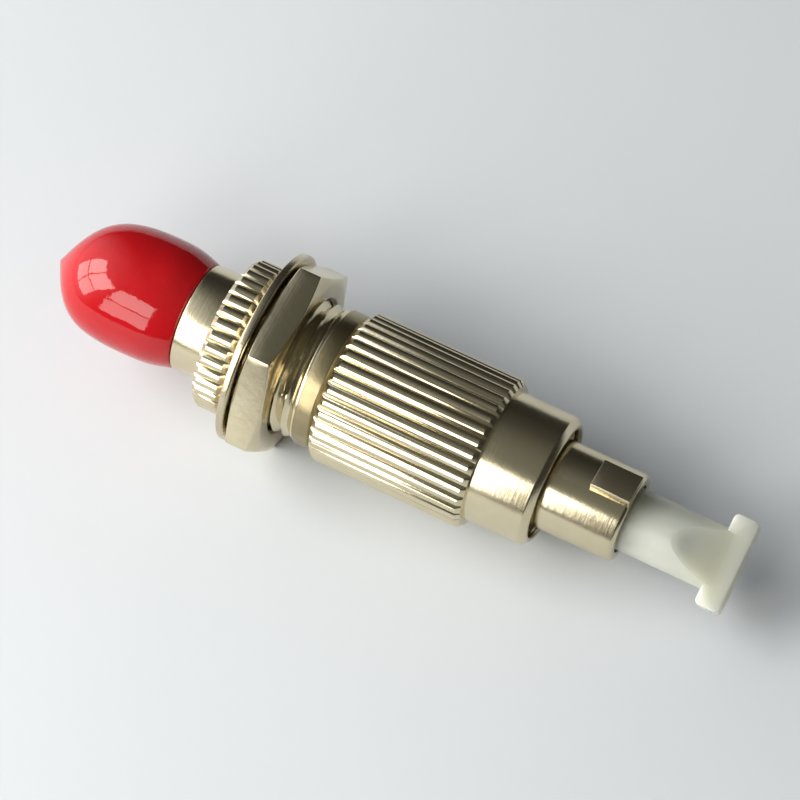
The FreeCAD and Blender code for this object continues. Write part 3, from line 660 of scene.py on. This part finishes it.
class ADAPTER_OT_plug_body(Operator):
    """Build the plug body: spigot, smooth neck, journal and stop collar"""
    bl_idname = "adapter.plug_body"
    bl_label = "Plug body"

    def execute(self, context):
        sizes = context.scene.adapter_sizes
        low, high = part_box("plug_body")
        shank_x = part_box("sma_receptacle")[1].x
        neck_r = high.z
        neck_x = shank_x + sizes.neck_length
        stop_x = high.x - sizes.stop_collar_length
        frame_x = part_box("plug_frame")[0].x
        edge = sizes.edge_round
        chamfer = sizes.neck_chamfer
        spigot_r = sizes.spigot_d / 2
        journal_r = sizes.journal_d / 2
        stop_r = sizes.stop_collar_d / 2
        seat_r = sizes.frame_seat_d / 2
        passage_r = sizes.passage_d / 2
        bm = turn([(low.x, spigot_r, edge), (shank_x, spigot_r, 0), (shank_x, neck_r, edge),
                   (neck_x - chamfer, neck_r, edge), (neck_x, neck_r - chamfer, 0), (neck_x, journal_r, 0),
                   (stop_x, journal_r, 0), (stop_x, stop_r, edge), (high.x, stop_r, edge),
                   (high.x, seat_r, 0), (frame_x, seat_r, 0), (frame_x, passage_r, 0),
                   (low.x, passage_r, 0)], ROUND_STEPS)
        # The neck's darker plate is painted shade between the two nuts
        finish_piece(bm, "plug_neck_body", "adapter_body", "plug_body",
                     "dull_shaded_nickel_plate")
        return {"FINISHED"}


class ADAPTER_OT_coupling_nut(Operator):
    """Build the coupling nut: knurled grip, smooth front, ring groove and thread"""
    bl_idname = "adapter.coupling_nut"
    bl_label = "Coupling nut"

    def execute(self, context):
        sizes = context.scene.adapter_sizes
        low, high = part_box("coupling_nut")
        ring_low, ring_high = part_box("retaining_ring")
        grip_r = high.z
        front_x = low.x + sizes.grip_length
        front_r = sizes.front_d / 2
        bore_r = sizes.coupling_bore_d / 2
        groove_r = sizes.groove_d / 2
        thread_r = sizes.coupling_thread_d / 2
        chamfer = sizes.knurl_chamfer
        edge = sizes.edge_round
        outline = [(low.x, bore_r, edge), (low.x, grip_r - chamfer, 0), (low.x + chamfer, grip_r, 0),
                   (front_x - chamfer, grip_r, 0), (front_x, grip_r - chamfer, 0), (front_x, front_r, 0),
                   (high.x - sizes.front_chamfer, front_r, edge),
                   (high.x, front_r - sizes.front_chamfer, edge), (high.x, thread_r + sizes.mouth, edge)]
        thread_step = sizes.panel_pitch / STEPS_PER_PITCH
        outline += stretch(sizes.relief_x, high.x - sizes.mouth, thread_r, thread_step)[::-1]
        outline += [(sizes.relief_x, bore_r, 0), (ring_high.x, bore_r, 0), (ring_high.x, groove_r, 0),
                    (ring_low.x, groove_r, 0), (ring_low.x, bore_r, 0)]
        bm = turn(outline, sizes.ridges * GRIP_STEPS_PER_RIDGE)
        cut_knurl(bm, low.x, front_x, grip_r, sizes)
        cut_thread(bm, sizes.relief_x, high.x, thread_r, sizes.panel_pitch, -sizes.thread_depth)
        finish_piece(bm, "knurled_coupling_nut", "knurled_nut", "coupling_nut",
                     "turned_nickel_plate")
        return {"FINISHED"}


class ADAPTER_OT_plug_frame(Operator):
    """Build the plug frame: a bright tube with an inner lip, and the key on its front edge"""
    bl_idname = "adapter.plug_frame"
    bl_label = "Plug frame"

    def execute(self, context):
        sizes = context.scene.adapter_sizes
        low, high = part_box("plug_frame")
        outer_r = sizes.frame_d / 2
        bore_r = sizes.frame_bore_d / 2
        lip_r = sizes.lip_d / 2
        lip_end_x = sizes.lip_x + sizes.lip_length
        chamfer = sizes.frame_chamfer
        edge = sizes.edge_round
        bm = turn([(low.x, bore_r, 0), (low.x, outer_r, edge), (high.x - chamfer, outer_r, edge),
                   (high.x, outer_r - chamfer, edge), (high.x, bore_r, edge), (lip_end_x, bore_r, 0),
                   (lip_end_x, lip_r, 0), (sizes.lip_x, lip_r, 0), (sizes.lip_x, bore_r, 0)], ROUND_STEPS)
        key_foot = (outer_r + bore_r) / 2
        key_top = outer_r + sizes.key_height
        key_x = high.x - sizes.key_length
        key_end_x = high.x - sizes.key_round
        middle = Vector(((key_x + key_end_x) / 2, 0, (key_foot + key_top) / 2))
        scale = Matrix.Diagonal((key_end_x - key_x, sizes.key_width, key_top - key_foot, 1))
        turned = Matrix.Rotation(sizes.key_turn, 4, "X")
        key = bmesh.new()
        bmesh.ops.create_cube(key, size=1, matrix=turned @ Matrix.Translation(middle) @ scale)
        round_edges(key, key.edges[:], sizes.key_round, EDGE_SEGMENTS)
        finish_piece(unite(bm, key), "keyed_plug_frame", "adapter_body", "plug_frame",
                     "turned_nickel_plate")
        return {"FINISHED"}


class ADAPTER_OT_white_cap(Operator):
    """Build the moulded cap on the FC end: hollow barrel with two sloping flats, and a grip across its end"""
    bl_idname = "adapter.white_cap"
    bl_label = "White cap"

    def execute(self, context):
        sizes = context.scene.adapter_sizes
        low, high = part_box("fc_dust_cap")
        grip_x = high.x - sizes.white_grip_length
        barrel_r = sizes.white_d / 2
        bore_r = sizes.white_bore_d / 2
        rounded = sizes.white_round
        blend_x = grip_x + sizes.white_blend
        blend_r = sizes.white_grip_height / 2 - rounded
        step = 2 * rounded
        outline = [(sizes.white_bore_x, 0, 0), (sizes.white_bore_x, bore_r, rounded),
                   (low.x, bore_r, rounded), (low.x, barrel_r, rounded)]
        outline += stretch(low.x + step, blend_x, barrel_r, step)
        barrel = turn(outline + [(blend_x, 0, 0)], ROUND_STEPS, closed=False)
        bmesh.ops.remove_doubles(barrel, verts=barrel.verts, dist=MERGE_GAP)
        fall = math.atan2(barrel_r - blend_r, blend_x - sizes.white_slope_x)
        for side in (1, -1):
            cut_flat(barrel, (sizes.white_slope_x, 0, side * barrel_r),
                     (math.sin(fall), 0, side * math.cos(fall)))
        grip = bmesh.new()
        scale = Matrix.Diagonal((sizes.white_grip_length, sizes.white_grip_width, sizes.white_grip_height, 1))
        bmesh.ops.create_cube(grip, size=1, matrix=Matrix.Translation(((grip_x + high.x) / 2, 0, 0)) @ scale)
        upright = [side for side in grip.edges if side.verts[0].co.z * side.verts[1].co.z < 0]
        round_edges(grip, upright, sizes.white_grip_corner, GRIP_SEGMENTS)
        rims = [side for side in grip.edges if side.verts[0].co.z * side.verts[1].co.z > 0]
        round_edges(grip, rims, rounded, EDGE_SEGMENTS)
        turned = Matrix.Rotation(sizes.white_grip_turn, 3, "X")
        for bm in (barrel, grip):
            bmesh.ops.rotate(bm, verts=bm.verts, cent=ORIGIN, matrix=turned)
        finish_piece(unite(barrel, grip), "white_end_cap", "fc_cap", "fc_dust_cap",
                     "natural_polyethylene", sharp=WHITE_SHARP)
        return {"FINISHED"}


class ADAPTER_OT_ferrule(Operator):
    """Build the ceramic ferrule with its chamfered and polished tip"""
    bl_idname = "adapter.ferrule"
    bl_label = "Ceramic ferrule"

    def execute(self, context):
        sizes = context.scene.adapter_sizes
        low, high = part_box("fc_ferrule")
        outer_r = high.z
        bore_r = sizes.fibre_bore_d / 2
        chamfer = sizes.ferrule_chamfer
        edge = sizes.edge_round
        bm = turn([(low.x, bore_r, 0), (low.x, outer_r, edge), (high.x - chamfer, outer_r, edge),
                   (high.x, outer_r - chamfer, edge), (high.x, bore_r, 0)], SMALL_STEPS)
        finish_piece(bm, "ceramic_ferrule", "optical_stub", "fc_ferrule", "polished_zirconia")
        return {"FINISHED"}


class ADAPTER_OT_spring(Operator):
    """Wind the coil spring behind the ferrule holder at the length of its solid; the real spring shortens as
    the stub is pressed in
    """
    bl_idname = "adapter.spring"
    bl_label = "Ferrule spring"

    def execute(self, context):
        sizes = context.scene.adapter_sizes
        low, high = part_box("ferrule_spring")
        run = high.x - low.x
        start = Matrix.Translation((low.x + sizes.spring_wire_d / 2, 0, sizes.spring_mean_d / 2))
        steps = sizes.spring_turns * SPRING_STEPS_PER_TURN
        bm = bmesh.new()
        bmesh.ops.create_circle(bm, cap_ends=True, radius=sizes.spring_wire_d / 2, segments=SPRING_WIRE_SIDES,
                                matrix=start @ Matrix.Rotation(FULL_TURN / 4, 4, "X"))
        bmesh.ops.spin(bm, geom=bm.verts[:] + bm.edges[:] + bm.faces[:], cent=ORIGIN, axis=AXIS, steps=steps,
                       dvec=AXIS * (run - sizes.spring_wire_d) / steps, angle=sizes.spring_turns * FULL_TURN)
        spring = finish_piece(bm, "coil_spring", "adapter_body", "ferrule_spring",
                              "ground_spring_steel")
        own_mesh(spring)
        return {"FINISHED"}


class ADAPTER_OT_stage(Operator):
    """Lay the table, hang the windows, set the room's light and place the camera"""
    bl_idname = "adapter.stage"
    bl_label = "Stage"

    def execute(self, context):
        stage = context.scene.adapter_stage
        self.lay_table(stage)
        self.light_room(context, stage)
        aim = Vector((stage.view_aim_x, 0, 0))
        for azimuth, columns, level in zip(stage.window_azimuths, stage.window_columns, stage.window_levels):
            self.hang_window(context, stage, aim, azimuth, columns, level)
        self.place_camera(context, stage, aim)
        context.scene.view_settings.view_transform = "Standard"
        return {"FINISHED"}

    def lay_table(self, stage):
        """Pale table along the line through the part's two rests, with a soft step down to a floor."""
        bm = bmesh.new()
        segments = round(stage.floor_size / stage.floor_mesh)
        bmesh.ops.create_grid(bm, x_segments=segments, y_segments=segments, size=stage.floor_size / 2)
        for vert in bm.verts:
            beyond = min(1, max(0, (vert.co.length - stage.table_size / 2) / stage.floor_run))
            vert.co.z = -stage.floor_drop * beyond ** 2 * (3 - 2 * beyond)
        rest = Matrix.Translation((stage.table_x, 0, stage.table_z))
        tilt = Matrix.Rotation(-stage.table_tilt, 4, "Y")
        bmesh.ops.transform(bm, matrix=rest @ tilt, verts=bm.verts)
        table = add_object(bm, "table_top")
        table.data.shade_smooth()
        table.data.materials.append(bpy.data.materials["pale_table_top"])

    def light_room(self, context, stage):
        """Room that is dim at the level of the table and paler overhead, with a bright wall to one side."""
        world = bpy.data.worlds.new("room")
        world.use_nodes = True
        tree = world.node_tree
        tree.nodes.clear()
        direction = add_node(tree, "ShaderNodeTexCoord").outputs["Generated"]
        height = add_node(tree, "ShaderNodeVectorMath", {
            0: direction, 1: Vector(stage.room_top).normalized()}, operation="DOT_PRODUCT")
        ramp = add_node(tree, "ShaderNodeValToRGB", {"Fac": height.outputs["Value"]})
        stops = ramp.color_ramp.elements
        stops.new(stage.room_heights[1])
        tones = (stage.room_low, stage.room_side, stage.room_high)
        for stop, level, tone in zip(stops, stage.room_heights, tones):
            stop.position = level
            stop.color = opaque(tone)
        room = add_node(tree, "ShaderNodeBackground", {"Color": ramp.outputs["Color"]})
        facing = add_node(tree, "ShaderNodeVectorMath", {
            0: direction, 1: Vector(stage.wall_direction).normalized()}, operation="DOT_PRODUCT")
        glow = add_node(tree, "ShaderNodeMapRange", {
            "Value": facing.outputs["Value"], "From Min": stage.wall_edge, "From Max": stage.wall_core,
            "To Max": stage.wall_radiance}, interpolation_type="SMOOTHSTEP")
        wall = add_node(tree, "ShaderNodeBackground", {
            "Color": opaque(stage.wall_tint), "Strength": glow.outputs["Result"]})
        both = add_node(tree, "ShaderNodeAddShader", {0: room.outputs[0], 1: wall.outputs[0]})
        add_node(tree, "ShaderNodeOutputWorld", {"Surface": both.outputs[0]})
        context.scene.world = world

    def hang_window(self, context, stage, aim, azimuth, columns, level):
        """Window with two rows of panes that faces the part."""
        reach = math.cos(stage.window_elevation)
        height = math.sin(stage.window_elevation)
        away = Vector((math.sin(azimuth) * reach, -math.cos(azimuth) * reach, height))
        turned = away.to_track_quat("Z", "Y").to_matrix().to_4x4()
        for row, radiance in ((-1, stage.lower_radiance), (1, stage.upper_radiance)):
            for column in range(columns):
                lamp = bpy.data.lights.new("window_pane", "AREA")
                lamp.shape = "RECTANGLE"
                lamp.size = stage.pane_width
                lamp.size_y = stage.pane_height
                lamp.energy = level * radiance * math.pi * stage.pane_width * stage.pane_height
                lamp.color = stage.window_tint
                pane = bpy.data.objects.new("window_pane", lamp)
                offset = Vector(((column - (columns - 1) / 2) * (stage.pane_width + stage.pane_bar),
                                 row * (stage.pane_height + stage.pane_bar) / 2, 0))
                pane.matrix_world = (Matrix.Translation(aim + away * stage.window_distance) @ turned
                                     @ Matrix.Translation(offset))
                context.scene.collection.objects.link(pane)

    def place_camera(self, context, stage, aim):
        """Camera at the photograph's angle, with no roll."""
        level = math.cos(stage.view_elevation)
        back = Vector((math.sin(stage.view_azimuth) * level, -math.cos(stage.view_azimuth) * level,
                       math.sin(stage.view_elevation)))
        turned = back.to_track_quat("Z", "Y")
        rise = turned @ Vector((0, stage.view_aim_rise, 0))
        lens = bpy.data.cameras.new("camera")
        lens.lens = stage.lens
        lens.clip_start = 10 * MM
        camera = bpy.data.objects.new("camera", lens)
        place = Matrix.Translation(aim + rise + back * stage.view_distance)
        camera.matrix_world = place @ turned.to_matrix().to_4x4()
        context.scene.collection.objects.link(camera)
        context.scene.camera = camera


class ADAPTER_PT_pieces(Panel):
    """Pieces of the adapter, its finishes and its stage"""
    bl_label = "Fibre adapter"
    bl_space_type = "VIEW_3D"
    bl_region_type = "UI"
    bl_category = "Adapter"

    def draw(self, context):
        for operator in OPERATORS:
            self.layout.operator(operator.bl_idname)


OPERATORS = (
    ADAPTER_OT_finishes, ADAPTER_OT_red_cap, ADAPTER_OT_receptacle, ADAPTER_OT_washer, ADAPTER_OT_panel_nut,
    ADAPTER_OT_plug_body, ADAPTER_OT_coupling_nut, ADAPTER_OT_plug_frame, ADAPTER_OT_white_cap,
    ADAPTER_OT_ferrule, ADAPTER_OT_spring, ADAPTER_OT_stage)
GROUPS = {"adapter_sizes": AdapterSizes, "adapter_finish": AdapterFinish, "adapter_stage": AdapterStage}


def register():
    for name, group in GROUPS.items():
        bpy.utils.register_class(group)
        setattr(bpy.types.Scene, name, PointerProperty(type=group))
    for entry in (*OPERATORS, ADAPTER_PT_pieces):
        bpy.utils.register_class(entry)


def unregister():
    for entry in (ADAPTER_PT_pieces, *OPERATORS):
        bpy.utils.unregister_class(entry)
    for name, group in GROUPS.items():
        delattr(bpy.types.Scene, name)
        bpy.utils.unregister_class(group)


def main():
    register()
    bpy.ops.adapter.finishes()
    bpy.ops.adapter.red_cap()
    bpy.ops.adapter.receptacle()
    bpy.ops.adapter.washer()
    bpy.ops.adapter.panel_nut()
    bpy.ops.adapter.plug_body()
    bpy.ops.adapter.coupling_nut()
    bpy.ops.adapter.plug_frame()
    bpy.ops.adapter.white_cap()
    bpy.ops.adapter.ferrule()
    bpy.ops.adapter.spring()
    bpy.ops.adapter.stage()


if __name__ == "__main__":
    main()
